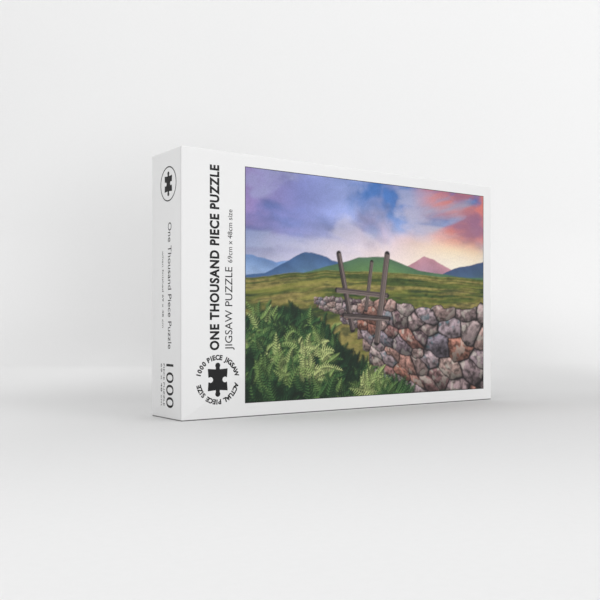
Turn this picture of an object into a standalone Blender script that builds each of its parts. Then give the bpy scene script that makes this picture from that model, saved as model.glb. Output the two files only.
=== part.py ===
"""A boxed jigsaw puzzle, standing on its long side as on a shop shelf.

Two greyboard trays, each covered in paper, slide one over the other. The lid is the
front one: its panel faces -Y, and its four walls reach back over the walls of the base.
The base holds a sealed clear bag of loose pieces, slumped to the bottom of the box.

Units are metres, +Z is up, and the origin is at the middle of the box's footprint.
"""

import math
import random

import bmesh
import bpy
from mathutils import Matrix, Vector, noise

MM = 0.001

# The closed box.
BOX_WIDTH = 350 * MM
BOX_HEIGHT = 215 * MM
BOX_DEPTH = 54 * MM

# The layers of a wall, from the outside in.
PAPER = 0.3 * MM
GLUE_GAP = 0.4 * MM
BOARD = 1.5 * MM
LINING_GAP = 0.1 * MM
BOARD_INSET = PAPER + GLUE_GAP
WALL = BOARD_INSET + BOARD + LINING_GAP + PAPER
RIM_INSET = 0.9 * MM
TURN_IN = 15 * MM
EDGE_RADIUS = 1.0 * MM
EDGE_SEGMENTS = 2
SHARP_ANGLE = math.radians(35)

# How the base sits in the lid.
LID_CLEARANCE = 0.6 * MM
RIM_CLEARANCE = 0.5 * MM
BASE_PROUD = 1.0 * MM
LID_DEPTH = BOX_DEPTH - BASE_PROUD
BASE_DEPTH = BOX_DEPTH - BOARD_INSET - BOARD - RIM_CLEARANCE
NEST = WALL + LID_CLEARANCE

# The paper tape that holds each corner of a board tray, in the glue gap under the wrap.
STAY_THICKNESS = 0.2 * MM
STAY_INSET = PAPER + 0.1 * MM
STAY_LEG = 16 * MM
STAY_END_GAP = 3 * MM

# The finished puzzle, and the pieces that it is cut into.
PUZZLE_WIDTH = 690 * MM
PUZZLE_HEIGHT = 480 * MM
PIECE_COLUMNS = 38
PIECE_ROWS = 27
PIECE_WIDTH = PUZZLE_WIDTH / PIECE_COLUMNS
PIECE_HEIGHT = PUZZLE_HEIGHT / PIECE_ROWS
PIECE_THICKNESS = 1.9 * MM
KNOB_RADIUS = 2.3 * MM
KNOB_REACH = 4.8 * MM
NECK_HALF_WIDTH = 1.9 * MM
KNOB_HALF_ARC = math.radians(130)
KNOB_ARC_STEPS = 5

# Pieces that lie against the front of the bag: (columns, rows, distance in front of the middle).
PIECE_LAYERS = ((10, 3, 18.7 * MM), (8, 2, 13.2 * MM))
PIECE_SPACING = 28.8 * MM
PIECE_TILT = math.radians(7)
LAYER_MIDDLE = 59.8 * MM

# The clear bag, as sections from the bottom up: height, half width, half depth, corner radius.
BAG_FILM = 0.3 * MM
BAG_SECTIONS = (
    (6.4 * MM, 150 * MM, 16.0 * MM, 6.0 * MM),
    (10 * MM, 154 * MM, 20.8 * MM, 7.0 * MM),
    (17 * MM, 156 * MM, 22.7 * MM, 8.0 * MM),
    (105 * MM, 156 * MM, 22.7 * MM, 8.0 * MM),
    (117 * MM, 154 * MM, 16.0 * MM, 7.0 * MM),
    (129 * MM, 152 * MM, 6.0 * MM, 4.0 * MM),
    (138 * MM, 151 * MM, 1.6 * MM, 1.4 * MM),
    (150 * MM, 151 * MM, 1.6 * MM, 1.4 * MM),
)
SECTION_CORNER_STEPS = 3
VENT_RADIUS = 3 * MM
VENT_HEIGHT = 123 * MM
VENT_SPREAD = 70 * MM
VENT_SIDES = 12

# The rest of the pieces, as one heap behind the ones in front.
HEAP_HALF_WIDTH = 144 * MM
HEAP_FRONT = -9.5 * MM
HEAP_BACK = 19 * MM
HEAP_BOTTOM = 14 * MM
HEAP_TOP = 104 * MM
HEAP_LUMP = 1.3 * MM
HEAP_LUMP_SIZE = 22 * MM
HEAP_CELL = 24 * MM

CORNERS = {
    "upper_left": (-1, 1),
    "upper_right": (1, 1),
    "lower_left": (-1, -1),
    "lower_right": (1, -1),
}


def clear_scene():
    for obj in list(bpy.data.objects):
        bpy.data.objects.remove(obj, do_unlink=True)


def make_collection(name):
    collection = bpy.data.collections.new(name)
    bpy.context.scene.collection.children.link(collection)
    return collection


def make_material(name, colour, roughness, alpha=1.0):
    material = bpy.data.materials.new(name)
    material.use_nodes = True
    shader = material.node_tree.nodes["Principled BSDF"]
    shader.inputs["Base Color"].default_value = (*colour, 1.0)
    shader.inputs["Roughness"].default_value = roughness
    shader.inputs["Metallic"].default_value = 0.0
    shader.inputs["Alpha"].default_value = alpha
    return material


def make_frame(name, matrix, collection):
    """An empty that a tray's parts, or the bag's, are placed under."""
    frame = bpy.data.objects.new(name, None)
    frame.matrix_world = matrix
    collection.objects.link(frame)
    return frame


def add_object(name, data, material, parent, collection, matrix=None):
    obj = bpy.data.objects.new(name, data)
    obj.parent = parent
    if matrix is not None:
        obj.matrix_local = matrix
    data.materials.append(material)
    collection.objects.link(obj)
    return obj


def box_bmesh(low, high):
    """A closed box between two corners."""
    low, high = Vector(low), Vector(high)
    bm = bmesh.new()
    bmesh.ops.create_cube(bm, size=1.0)
    bmesh.ops.scale(bm, vec=high - low, verts=bm.verts)
    bmesh.ops.translate(bm, vec=(low + high) / 2, verts=bm.verts)
    return bm


def drop_faces(bm, unwanted):
    """Deletes the faces whose normals point along any of the unwanted directions."""
    bm.normal_update()
    found = [
        face
        for face in bm.faces
        if any(face.normal.dot(Vector(direction)) > 0.9 for direction in unwanted)
    ]
    bmesh.ops.delete(bm, geom=found, context="FACES")


def finish_mesh(bm, name):
    mesh = bpy.data.meshes.new(name)
    bm.to_mesh(mesh)
    bm.free()
    return mesh


def shade_round(mesh):
    """Shades a rounded shape smooth and keeps its real corners crisp."""
    mesh.shade_smooth()
    mesh.set_sharp_from_angle(angle=SHARP_ANGLE)
    return mesh


def round_edges(obj, radius, segments=EDGE_SEGMENTS):
    bevel = obj.modifiers.new("rounded_edges", "BEVEL")
    bevel.limit_method = "ANGLE"
    bevel.angle_limit = math.radians(40)
    bevel.width = radius
    bevel.segments = segments


def thicken_inwards(obj, thickness):
    solidify = obj.modifiers.new("thickness", "SOLIDIFY")
    solidify.thickness = thickness
    solidify.offset = -1.0
    solidify.use_even_offset = True


def cut_away(obj, cutter):
    boolean = obj.modifiers.new("cut_" + cutter.name, "BOOLEAN")
    boolean.operation = "DIFFERENCE"
    boolean.object = cutter


def add_cutter(name, mesh, parent, collection, matrix=None):
    cutter = bpy.data.objects.new(name, mesh)
    cutter.parent = parent
    if matrix is not None:
        cutter.matrix_local = matrix
    cutter.hide_render = True
    cutter.display_type = "WIRE"
    collection.objects.link(cutter)
    return cutter


# A tray is modelled with its panel at y = 0 and its mouth towards +Y, about its own middle.


def wrap_mesh(name, width, height, depth):
    """The covering paper as one surface: panel, four walls, the fold over the rim and the turn-in."""
    half_width, half_height = width / 2, height / 2
    bm = box_bmesh((-half_width, 0, -half_height), (half_width, depth, half_height))
    drop_faces(bm, [(0, 1, 0)])
    for fold in ("over_the_rim", "turn_in"):
        rim = [edge for edge in bm.edges if edge.is_boundary]
        made = bmesh.ops.extrude_edge_only(bm, edges=rim)["geom"]
        for vert in [item for item in made if isinstance(item, bmesh.types.BMVert)]:
            if fold == "over_the_rim":
                vert.co.x -= math.copysign(WALL, vert.co.x)
                vert.co.z -= math.copysign(WALL, vert.co.z)
            else:
                vert.co.y -= TURN_IN
    bmesh.ops.recalc_face_normals(bm, faces=bm.faces)
    return finish_mesh(bm, name)


def board_mesh(name, width, height, depth):
    """The outer block of a board tray, with every edge rounded but those round its mouth."""
    half_width = width / 2 - BOARD_INSET
    half_height = height / 2 - BOARD_INSET
    mouth = depth - RIM_INSET
    bm = box_bmesh(
        (-half_width, BOARD_INSET, -half_height), (half_width, mouth, half_height)
    )
    folded = [
        edge
        for edge in bm.edges
        if min(vert.co.y for vert in edge.verts) < mouth - BOARD
    ]
    bmesh.ops.bevel(
        bm,
        geom=folded,
        offset=EDGE_RADIUS - BOARD_INSET,
        segments=EDGE_SEGMENTS,
        profile=0.5,
        affect="EDGES",
    )
    return finish_mesh(bm, name)


def hollow_mesh(name, width, height, depth):
    """The inside of a board tray, run out past its mouth."""
    half_width = width / 2 - BOARD_INSET - BOARD
    half_height = height / 2 - BOARD_INSET - BOARD
    bm = box_bmesh(
        (-half_width, BOARD_INSET + BOARD, -half_height),
        (half_width, depth + BOARD, half_height),
    )
    return finish_mesh(bm, name)


def stay_mesh(name, width, height, depth, side):
    """An L of paper tape round one corner of a board tray."""
    side_x, side_z = side
    corner = Vector(
        (side_x * (width / 2 - STAY_INSET), 0, side_z * (height / 2 - STAY_INSET))
    )
    inner = corner - Vector((side_x * STAY_LEG, 0, side_z * STAY_LEG))
    low = [min(corner.x, inner.x), STAY_END_GAP, min(corner.z, inner.z)]
    high = [max(corner.x, inner.x), depth - STAY_END_GAP, max(corner.z, inner.z)]
    bm = box_bmesh(low, high)
    drop_faces(bm, [(0, 1, 0), (0, -1, 0), (-side_x, 0, 0), (0, 0, -side_z)])
    return finish_mesh(bm, name)


def build_tray(name, width, height, depth, frame, parts, cutters, materials):
    """A board tray, the stays at its corners and the paper round it."""
    board = add_object(
        name + "_board",
        board_mesh(name + "_board", width, height, depth),
        materials["greyboard"],
        frame,
        parts,
    )
    hollow = hollow_mesh(name + "_hollow", width, height, depth)
    cut_away(board, add_cutter(name + "_hollow", hollow, frame, cutters))

    for corner, side in CORNERS.items():
        stay_name = f"{name}_corner_stay_{corner}"
        stay = add_object(
            stay_name,
            stay_mesh(stay_name, width, height, depth, side),
            materials["kraft_tape"],
            frame,
            parts,
        )
        round_edges(stay, EDGE_RADIUS - STAY_INSET)
        thicken_inwards(stay, STAY_THICKNESS)

    wrap = add_object(
        name + "_wrap",
        wrap_mesh(name + "_wrap", width, height, depth),
        materials["coated_paper"],
        frame,
        parts,
    )
    round_edges(wrap, EDGE_RADIUS)
    thicken_inwards(wrap, PAPER)


def rounded_section(half_width, half_depth, radius):
    """A rectangle with round corners, as points round it anticlockwise."""
    points = []
    for quarter, (side_x, side_y) in enumerate(((1, 1), (-1, 1), (-1, -1), (1, -1))):
        centre = Vector(
            (side_x * (half_width - radius), side_y * (half_depth - radius))
        )
        for step in range(SECTION_CORNER_STEPS + 1):
            angle = math.pi / 2 * (quarter + step / SECTION_CORNER_STEPS)
            points.append(
                centre + radius * Vector((math.cos(angle), math.sin(angle)))
            )
    return points


def bag_mesh(name):
    """The bag's outer skin, lofted from the full body up to the flat seal."""
    bm = bmesh.new()
    loops = []
    for height, half_width, half_depth, radius in BAG_SECTIONS:
        section = rounded_section(half_width, half_depth, radius)
        loops.append([bm.verts.new((point.x, point.y, height)) for point in section])
    count = len(loops[0])
    for lower, upper in zip(loops, loops[1:]):
        for i in range(count):
            j = (i + 1) % count
            bm.faces.new((lower[i], lower[j], upper[j], upper[i]))
    bm.faces.new(list(reversed(loops[0])))
    bm.faces.new(loops[-1])
    return shade_round(finish_mesh(bm, name))


def vent_mesh(name):
    """A round punch that goes through the front film and no further."""
    bm = bmesh.new()
    bmesh.ops.create_cone(
        bm,
        cap_ends=True,
        segments=VENT_SIDES,
        radius1=VENT_RADIUS,
        radius2=VENT_RADIUS,
        depth=BOX_DEPTH / 2,
    )
    bmesh.ops.rotate(bm, matrix=Matrix.Rotation(math.pi / 2, 3, "X"), verts=bm.verts)
    return finish_mesh(bm, name)


def build_bag(frame, parts, cutters, materials):
    bag = add_object(
        "clear_bag", bag_mesh("clear_bag"), materials["clear_film"], frame, parts
    )
    thicken_inwards(bag, BAG_FILM)
    for name, side in (("vent_left", -1), ("vent_right", 1)):
        place = Matrix.Translation((side * VENT_SPREAD, -BOX_DEPTH / 4, VENT_HEIGHT))
        cut_away(bag, add_cutter(name, vent_mesh(name), frame, cutters, place))


def heap_mesh(name):
    """A lumpy block where most of the loose pieces lie."""
    bm = box_bmesh(
        (-HEAP_HALF_WIDTH, HEAP_FRONT, HEAP_BOTTOM),
        (HEAP_HALF_WIDTH, HEAP_BACK, HEAP_TOP),
    )
    for axis in range(3):
        span = max(v.co[axis] for v in bm.verts) - min(v.co[axis] for v in bm.verts)
        along = [
            edge
            for edge in bm.edges
            if abs(edge.verts[0].co[axis] - edge.verts[1].co[axis]) > span / 2
        ]
        bmesh.ops.subdivide_edges(
            bm, edges=along, cuts=round(span / HEAP_CELL), use_grid_fill=True
        )
    bm.normal_update()
    for vert in bm.verts:
        lump = noise.noise(vert.co / HEAP_LUMP_SIZE)
        vert.co += vert.normal * HEAP_LUMP * lump
    return shade_round(finish_mesh(bm, name))


def side_outline(start, end, knob):
    """One side of a piece up to its far corner: straight, or with a knob out (1) or in (-1)."""
    points = [start]
    if knob:
        along = (end - start).normalized()
        out = Vector((along.y, -along.x)) * knob
        middle = (start + end) / 2
        head = middle + out * (KNOB_REACH - KNOB_RADIUS)
        points.append(middle - along * NECK_HALF_WIDTH)
        for step in range(KNOB_ARC_STEPS + 1):
            angle = KNOB_HALF_ARC * (2 * step / KNOB_ARC_STEPS - 1)
            points.append(
                head
                + KNOB_RADIUS * (math.sin(angle) * along + math.cos(angle) * out)
            )
        points.append(middle + along * NECK_HALF_WIDTH)
    return points


def piece_outline(knobs):
    """A jigsaw piece about its middle, anticlockwise from its lower left corner."""
    half_width, half_height = PIECE_WIDTH / 2, PIECE_HEIGHT / 2
    corners = [
        Vector(corner)
        for corner in (
            (-half_width, -half_height),
            (half_width, -half_height),
            (half_width, half_height),
            (-half_width, half_height),
        )
    ]
    points = []
    for i, knob in enumerate(knobs):
        points += side_outline(corners[i], corners[(i + 1) % 4], knob)
    return points


def piece_curve(name, knobs):
    """A flat cut-out of board, as a filled outline with half its thickness each way."""
    curve = bpy.data.curves.new(name, "CURVE")
    curve.dimensions = "2D"
    curve.fill_mode = "BOTH"
    curve.extrude = PIECE_THICKNESS / 2
    points = piece_outline(knobs)
    spline = curve.splines.new("POLY")
    spline.points.add(len(points) - 1)
    for spline_point, point in zip(spline.points, points):
        spline_point.co = (point.x, point.y, 0, 1)
    spline.use_cyclic_u = True
    return curve


def build_pieces(frame, parts, materials):
    """The pieces that show through the front of the bag, each turned and tilted its own way."""
    chance = random.Random(1000)
    number = 0
    for columns, rows, forward in PIECE_LAYERS:
        for column in range(columns):
            for row in range(rows):
                number += 1
                name = f"puzzle_piece_{number:02d}"
                # Two sides have a knob and two a socket, in any order, and a few pieces are
                # from the puzzle's straight border.
                knobs = [1, 1, -1, -1]
                chance.shuffle(knobs)
                if chance.random() < 0.12:
                    knobs[0] = 0
                place = Matrix.Translation(
                    (
                        (column - (columns - 1) / 2) * PIECE_SPACING,
                        -forward,
                        LAYER_MIDDLE + (row - (rows - 1) / 2) * PIECE_SPACING,
                    )
                )
                facing = math.pi / 2 * chance.choice((1, -1))
                turn = (
                    Matrix.Rotation(chance.uniform(-PIECE_TILT, PIECE_TILT), 4, "X")
                    @ Matrix.Rotation(chance.uniform(0, 2 * math.pi), 4, "Y")
                    @ Matrix.Rotation(facing, 4, "X")
                )
                add_object(
                    name,
                    piece_curve(name, knobs),
                    materials["puzzle_board"],
                    frame,
                    parts,
                    place @ turn,
                )
    add_object(
        "loose_pieces",
        heap_mesh("loose_pieces"),
        materials["puzzle_board"],
        frame,
        parts,
    )


def main():
    clear_scene()
    parts = make_collection("boxed_jigsaw_puzzle")
    cutters = make_collection("cutters")
    materials = {
        "greyboard": make_material("greyboard", (0.36, 0.33, 0.29), 0.9),
        "kraft_tape": make_material("kraft_tape", (0.55, 0.38, 0.22), 0.8),
        "coated_paper": make_material("coated_paper", (0.86, 0.86, 0.86), 0.4),
        "clear_film": make_material("clear_film", (0.9, 0.93, 0.95), 0.15, 0.3),
        "puzzle_board": make_material("puzzle_board", (0.3, 0.42, 0.28), 0.55),
    }

    lid_frame = make_frame(
        "lid_frame", Matrix.Translation((0, -BOX_DEPTH / 2, BOX_HEIGHT / 2)), parts
    )
    base_frame = make_frame(
        "base_frame",
        Matrix.Translation((0, BOX_DEPTH / 2, BOX_HEIGHT / 2))
        @ Matrix.Rotation(math.pi, 4, "Z"),
        parts,
    )
    bag_frame = make_frame("bag_frame", Matrix.Identity(4), parts)

    build_tray(
        "lid", BOX_WIDTH, BOX_HEIGHT, LID_DEPTH, lid_frame, parts, cutters, materials
    )
    build_tray(
        "base",
        BOX_WIDTH - 2 * NEST,
        BOX_HEIGHT - 2 * NEST,
        BASE_DEPTH,
        base_frame,
        parts,
        cutters,
        materials,
    )
    build_bag(bag_frame, parts, cutters, materials)
    build_pieces(bag_frame, parts, materials)


main()
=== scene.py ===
"""The looks of a boxed jigsaw puzzle: two paper-covered board trays, one inside the other, with
a clear bag of loose pieces between them. Sections follow the box as it is put together."""

import math
import random

import bmesh
import bpy
import numpy as np
from mathutils import Matrix, Vector, noise


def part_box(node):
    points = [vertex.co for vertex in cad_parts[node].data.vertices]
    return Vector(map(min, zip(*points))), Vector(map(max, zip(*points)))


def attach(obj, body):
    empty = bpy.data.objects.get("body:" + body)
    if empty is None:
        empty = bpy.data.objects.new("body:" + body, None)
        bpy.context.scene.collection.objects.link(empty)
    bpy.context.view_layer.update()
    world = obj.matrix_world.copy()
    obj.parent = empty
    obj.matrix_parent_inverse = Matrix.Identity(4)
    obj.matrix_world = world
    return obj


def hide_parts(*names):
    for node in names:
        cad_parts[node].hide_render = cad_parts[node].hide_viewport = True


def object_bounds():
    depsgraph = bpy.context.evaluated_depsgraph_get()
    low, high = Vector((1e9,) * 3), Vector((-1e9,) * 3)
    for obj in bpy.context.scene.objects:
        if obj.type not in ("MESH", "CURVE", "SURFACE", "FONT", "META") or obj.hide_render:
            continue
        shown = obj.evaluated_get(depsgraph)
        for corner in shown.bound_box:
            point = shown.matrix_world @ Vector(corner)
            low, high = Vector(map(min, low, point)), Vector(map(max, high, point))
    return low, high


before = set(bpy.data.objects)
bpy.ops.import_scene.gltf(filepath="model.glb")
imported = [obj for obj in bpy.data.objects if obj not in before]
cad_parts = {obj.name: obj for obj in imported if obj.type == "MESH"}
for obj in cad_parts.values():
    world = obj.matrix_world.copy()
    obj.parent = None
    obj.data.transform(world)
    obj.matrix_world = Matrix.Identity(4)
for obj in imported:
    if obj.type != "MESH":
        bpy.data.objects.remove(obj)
cad_low, cad_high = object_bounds()
bpy.ops.object.select_all(action="DESELECT")
MM = 0.001


# The room: one wide sheet of pale matt paper, which lies on the table and curves up into a wall
# behind the box. It hangs from a roll, as in any small product studio.

FLOOR_SIZE = 14.0
WALL_DISTANCE = 1.1
WALL_HEIGHT = 3.0
SWEEP_RADIUS = 0.30
VIEW_TURN = math.radians(-35.1)


def linear(hex_code):
    """An sRGB hex colour, as the linear values that a shader wants."""
    shares = [int(hex_code[i : i + 2], 16) / 255 for i in (1, 3, 5)]
    return np.array(
        [s / 12.92 if s <= 0.04045 else ((s + 0.055) / 1.055) ** 2.4 for s in shares]
    )


def rgba(hex_code):
    return (*linear(hex_code), 1.0)


def new_material(name):
    """An empty Principled material, its shader, and the coordinates that its patterns read."""
    material = bpy.data.materials.new(name)
    material.use_nodes = True
    spot = add_node(material, "TexCoord").outputs["Object"]
    return material, material.node_tree.nodes["Principled BSDF"], spot


def feed(node, inputs):
    """Gives a node's inputs their values. A node as a value stands for its first output in use,
    and an output of a node is linked."""
    for name, value in inputs.items():
        if isinstance(value, bpy.types.Node):
            value = next(output for output in value.outputs if output.enabled)
        if isinstance(value, bpy.types.NodeSocket):
            node.id_data.links.new(value, node.inputs[name])
        else:
            node.inputs[name].default_value = value


def add_node(material, kind, inputs=None, **settings):
    """Adds a shader node of a kind, such as Mix, with its settings, and feeds its inputs."""
    node = material.node_tree.nodes.new("ShaderNode" + kind)
    for name, value in settings.items():
        setattr(node, name, value)
    feed(node, inputs or {})
    return node


def enter_edit(obj):
    """Starts edit mode on one object with nothing selected, and gives its BMesh."""
    bpy.ops.object.select_all(action="DESELECT")
    obj.select_set(True)
    bpy.context.view_layer.objects.active = obj
    bpy.ops.object.mode_set(mode="EDIT")
    bpy.ops.mesh.select_mode(type="FACE")
    bpy.ops.mesh.select_all(action="DESELECT")
    return bmesh.from_edit_mesh(obj.data)


def leave_edit():
    bpy.ops.object.mode_set(mode="OBJECT")
    bpy.ops.object.select_all(action="DESELECT")


def apply_modifier(obj, modifier):
    bpy.context.view_layer.objects.active = obj
    bpy.ops.object.modifier_apply(modifier=modifier.name)


# Background paper is uncoated and matt, with a very faint tooth. The tooth is drawn at 4 mm, much
# coarser than the real 0.2 mm. Shade is painted into its colour: the table below gives the paper's
# painted lightness by metres along the roll from the middle of the box, darkest where the box
# stands.
# This painted shade fades half away to the sides, and a painted shadow lies on the wall to the
# left.
PAINTED_SHADE_ALONG_ROLL = (
    (-0.50, 0.90), (-0.40, 0.86), (-0.28, 0.80), (-0.14, 0.76), (-0.04, 0.74), (0.08, 0.64),
    (0.22, 0.72), (0.55, 0.77), (1.00, 0.80), (1.15, 0.90), (1.40, 1.00),
)
FADE_MIDDLE, FADE_FROM, FADE_TO = 0.08, 0.25, 0.50
SHADOW_PATCH_PLACE, SHADOW_PATCH_RADIUS = (-0.33, WALL_DISTANCE, 0.10), 0.5
background_paper, shader, spot = new_material("background_paper_painted_shade")
turned = add_node(background_paper, "Mapping", {"Vector": spot, "Rotation": (0, 0, -VIEW_TURN)})
apart = add_node(background_paper, "SeparateXYZ", {"Vector": turned}).outputs
along_roll = add_node(background_paper, "Math", {0: apart["Y"], 1: apart["Z"]}, operation="ADD")
along_share = add_node(
    background_paper, "MapRange",
    {"Value": along_roll, "From Min": PAINTED_SHADE_ALONG_ROLL[0][0], "From Max": PAINTED_SHADE_ALONG_ROLL[-1][0]},
)
# Painted shade: the paper's lightness along the roll, darkest where the box stands and low on the
# wall.
painted_shade_ramp = add_node(background_paper, "ValToRGB", {"Fac": along_share})
painted_shade_ramp.color_ramp.interpolation = "B_SPLINE"
stops = painted_shade_ramp.color_ramp.elements
for distance, lightness in PAINTED_SHADE_ALONG_ROLL[1:-1]:
    stops.new((distance - PAINTED_SHADE_ALONG_ROLL[0][0]) / (PAINTED_SHADE_ALONG_ROLL[-1][0] - PAINTED_SHADE_ALONG_ROLL[0][0]))
for stop, (distance, lightness) in zip(stops, PAINTED_SHADE_ALONG_ROLL):
    stop.color = (lightness, lightness, lightness, 1)
aside = add_node(background_paper, "Math", {0: apart["X"], 1: FADE_MIDDLE}, operation="SUBTRACT")
off_middle = add_node(background_paper, "Math", {0: aside}, operation="ABSOLUTE")
faded = add_node(
    background_paper, "MapRange",
    {"Value": off_middle, "From Min": FADE_FROM, "From Max": FADE_TO, "To Min": 0.0, "To Max": 0.5},
    interpolation_type="SMOOTHSTEP",
)
# The painted shade, half faded away to the sides.
painted_shade_faded = add_node(
    background_paper, "Mix", {0: faded, 6: painted_shade_ramp, 7: (1, 1, 1, 1)}, data_type="RGBA"
)
# Painted shadow on the wall to the left of the box: darker within half a metre of one spot.
from_shadow_patch = add_node(
    background_paper, "VectorMath", {0: turned, 1: SHADOW_PATCH_PLACE}, operation="DISTANCE"
)
painted_shadow_patch = add_node(
    background_paper, "MapRange",
    {"Value": from_shadow_patch, "From Max": SHADOW_PATCH_RADIUS, "To Min": 0.8},
    interpolation_type="SMOOTHSTEP",
)
tooth = add_node(background_paper, "TexNoise", {"Vector": spot, "Scale": 250.0, "Detail": 2.0})
paper_tone = add_node(
    background_paper, "Mix", {0: tooth, 6: rgba("#F2F2F2"), 7: rgba("#F5F5F5")}, data_type="RGBA"
)
shaded = add_node(
    background_paper, "VectorMath", {0: paper_tone, 1: painted_shade_faded}, operation="MULTIPLY"
)
shaded = add_node(background_paper, "VectorMath", {0: shaded, "Scale": painted_shadow_patch}, operation="SCALE")
feed(shader, {"Base Color": shaded, "Roughness": 0.95, "Specular IOR Level": 0.2})

bpy.ops.mesh.primitive_plane_add(size=FLOOR_SIZE)
background = bpy.context.object
background.name = "background_sheet"
shape = enter_edit(background)
bpy.ops.mesh.select_mode(type="EDGE")
for edge in shape.edges:
    edge.select_set(all(vert.co.y > 0 for vert in edge.verts))
bpy.ops.transform.translate(value=(0, WALL_DISTANCE - FLOOR_SIZE / 2, 0))
bpy.ops.mesh.extrude_region_move(TRANSFORM_OT_translate={"value": (0, 0, WALL_HEIGHT)})
bpy.ops.mesh.select_all(action="DESELECT")
shape = bmesh.from_edit_mesh(background.data)
for edge in shape.edges:
    edge.select_set(
        all(vert.co.y > WALL_DISTANCE / 2 and vert.co.z < WALL_HEIGHT / 2 for vert in edge.verts)
    )
bpy.ops.mesh.bevel(offset=SWEEP_RADIUS, segments=24, affect="EDGES")
leave_edit()
background.data.transform(Matrix.Rotation(VIEW_TURN, 4, "Z"))
background.data.materials.append(background_paper)
background.data.shade_smooth()


# The light and the camera: one large soft light in front on the right, a weaker one from the
# left, one overhead, and the glow of white walls all round. The camera is level, a little above
# the table, and sees the printed panel and the left end.

CAMERA_PLACE = Vector((-0.483, -0.625, 0.075))
CAMERA_AIM = Vector((0.5756, 0.8177, 0.0))
LENS_MM = 51.4
RISE = 0.042


def add_softbox(name, place, aim, size, power):
    bpy.ops.object.light_add(type="AREA", location=place)
    light = bpy.context.object
    light.name = name
    light.data.shape = "RECTANGLE"
    light.data.size, light.data.size_y = size
    light.data.energy = power
    light.visible_camera = False
    towards = Vector(aim) - Vector(place)
    light.rotation_euler = towards.to_track_quat("-Z", "Y").to_euler()


add_softbox("key_softbox", (0.9, -2.1, 0.75), (0, 0, 0.05), (1.4, 1.2), 16.6)
add_softbox("fill_softbox", (-1.9, -0.9, 1.0), (0, 0, 0.1), (1.2, 1.2), 9)
add_softbox("top_softbox", (0.2, 0.1, 2.2), (0, 0.1, 0), (2.2, 2.2), 14)

world = bpy.data.worlds.new("white_room")
world.use_nodes = True
world.node_tree.nodes["Background"].inputs["Color"].default_value = rgba("#F8F8F8")
world.node_tree.nodes["Background"].inputs["Strength"].default_value = 0.68
bpy.context.scene.world = world
bpy.context.scene.view_settings.view_transform = "Standard"

bpy.ops.object.camera_add(location=CAMERA_PLACE)
camera = bpy.context.object
camera.rotation_euler = CAMERA_AIM.to_track_quat("-Z", "Y").to_euler()
camera.data.sensor_width = 36.0
camera.data.lens = LENS_MM
camera.data.shift_y = RISE
camera.data.clip_start = 0.01
bpy.context.scene.camera = camera


# The two board trays: greyboard 1.5 mm thick, made from recycled paper, cut and scored flat and
# folded up. Their plain shape is right, so each keeps it and gets the board's surface.

# Calendered greyboard is warm grey and matt, with darker and paler fibres lying every way. The
# fibres are drawn 1.1 mm long and the cloudiness of the pulp at 12 mm.
greyboard, shader, spot = new_material("greyboard_calendered")
fibres = add_node(
    greyboard, "TexNoise", {"Vector": spot, "Scale": 900.0, "Detail": 4.0, "Distortion": 1.5}
)
pulp = add_node(greyboard, "TexNoise", {"Vector": spot, "Scale": 80.0, "Detail": 3.0})
fibre_share = add_node(
    greyboard, "MapRange", {"Value": fibres, "From Min": 0.35, "From Max": 0.7}
)
clouded = add_node(
    greyboard, "Mix", {0: pulp, 6: rgba("#98928A"), 7: rgba("#B0AA9F")}, data_type="RGBA"
)
flecked = add_node(
    greyboard, "Mix", {0: fibre_share, 6: rgba("#7C776F"), 7: clouded}, data_type="RGBA"
)
relief = add_node(greyboard, "Bump", {"Height": fibres, "Strength": 0.25, "Distance": 0.1 * MM})
feed(shader, {"Base Color": flecked, "Normal": relief, "Roughness": 0.92})


def repaint(node, material):
    """Gives a CAD node a new material in every slot."""
    for slot in bpy.data.objects[node].material_slots:
        slot.material = material


for tray in ("lid", "base"):
    repaint(tray + "_board", greyboard)


# The corner stays: short lengths of brown gummed tape, wetted and pressed round each corner of
# a tray to hold its walls up, before the printed paper hides them.

# Gummed kraft tape is a matt brown paper whose fibres run along the roll: 0.4 mm by 3 mm.
kraft_tape, shader, spot = new_material("kraft_tape_gummed")
along_tape = add_node(kraft_tape, "Mapping", {"Vector": spot, "Scale": (2500, 330, 2500)})
strands = add_node(kraft_tape, "TexNoise", {"Vector": along_tape, "Scale": 1.0, "Detail": 3.0})
browns = add_node(
    kraft_tape, "Mix", {0: strands, 6: rgba("#8F6B43"), 7: rgba("#C29B6C")}, data_type="RGBA"
)
feed(shader, {"Base Color": browns, "Roughness": 0.8})

CORNERS = ("upper_left", "upper_right", "lower_left", "lower_right")
for tray in ("lid", "base"):
    for corner in CORNERS:
        repaint(f"{tray}_corner_stay_{corner}", kraft_tape)


# The covering papers: a white sheet with a satin film laminated on it, glued round each board
# tray, folded over the rim and stuck down 15 mm inside. On the short walls the end flap lies
# over the tucked corner of the long wall's paper, and ends just short of the fold.

PAPER = 0.2 * MM
CAD_PAPER_WALL = 2.6 * MM
TURN_IN = 15 * MM
FOLD_RADIUS = 1.0 * MM
FOLD_SEGMENTS = 4
PRINT_ROOM = 0.12 * MM
FLAP_STEP = 0.1 * MM
FLAP_MARGIN = 1.5 * MM
FLAP_SLOPE = 0.08 * MM
# Where the painted grey line of shade past the front's folds lies.
FOLD_SHADE_LINE = 1.5 * MM
# How high the painted contact shadow along the lowest edge reaches.
CONTACT_SHADOW_RISE = (0.4 * MM, 1.05 * MM)

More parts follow.
